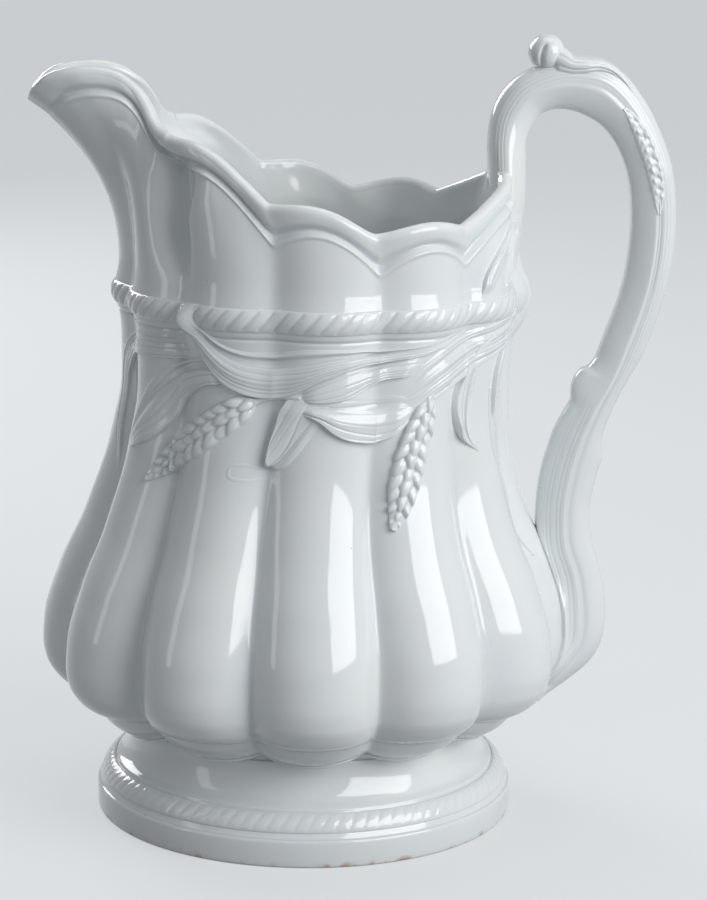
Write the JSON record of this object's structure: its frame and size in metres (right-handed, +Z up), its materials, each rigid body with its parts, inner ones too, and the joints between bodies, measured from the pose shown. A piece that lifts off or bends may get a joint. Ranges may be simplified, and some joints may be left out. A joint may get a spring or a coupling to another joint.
{
  "type": "pitcher",
  "caption": "Tall lobed ceramic pitcher on a spreading foot, with a beaked pouring spout, scalloped rim, wheat and leaf relief and a loop handle.",
  "frame": {"origin": "on the table, under the middle of the whole outline", "axes": "+Z up, +X from the spout towards the handle, +Y towards the far side; the XZ plane is the mirror plane"},
  "size_m": [0.2482, 0.2068, 0.3062],
  "materials": {
    "body": "white ironstone body under a clear, faintly blue, glossy glaze",
    "relief": "the same glaze over sprigged and moulded relief, pooled slightly bluer in the hollows",
    "foot": "the same glaze, wiped off the standing ring, with light rust brown specks at its edge"
  },
  "bodies": {
    "root": {"body_wall_far": "body", "body_wall_near": "body", "ear_stem_far": "relief", "ear_stem_near": "relief", "floor_disc": "body", "foot": "foot", "foot_rope": "foot", "front_leaf_far": "relief", "front_leaf_near": "relief", "handle": "body", "handle_ear_far": "relief", "handle_ear_near": "relief", "hanging_leaf_far": "relief", "hanging_leaf_near": "relief", "hooked_leaf_far": "relief", "hooked_leaf_near": "relief", "long_stem_far": "relief", "long_stem_near": "relief", "lower_leaf_far": "relief", "lower_leaf_near": "relief", "neck_leaf_long_far": "relief", "neck_leaf_long_near": "relief", "neck_leaf_short_far": "relief", "neck_leaf_short_near": "relief", "neck_rope": "relief", "pointed_leaf_far": "relief", "pointed_leaf_near": "relief", "ribbon_leaf_far": "relief", "ribbon_leaf_near": "relief", "spout_leaf_far": "relief", "spout_leaf_near": "relief", "stem_bundle_far": "relief", "stem_bundle_near": "relief", "tendril_far": "relief", "tendril_near": "relief", "thumb_scroll": "body", "upper_leaf_far": "relief", "upper_leaf_near": "relief", "wheat_ear_back_far": "relief", "wheat_ear_back_near": "relief", "wheat_ear_front_far": "relief", "wheat_ear_front_near": "relief"}
  },
  "joints": []
}
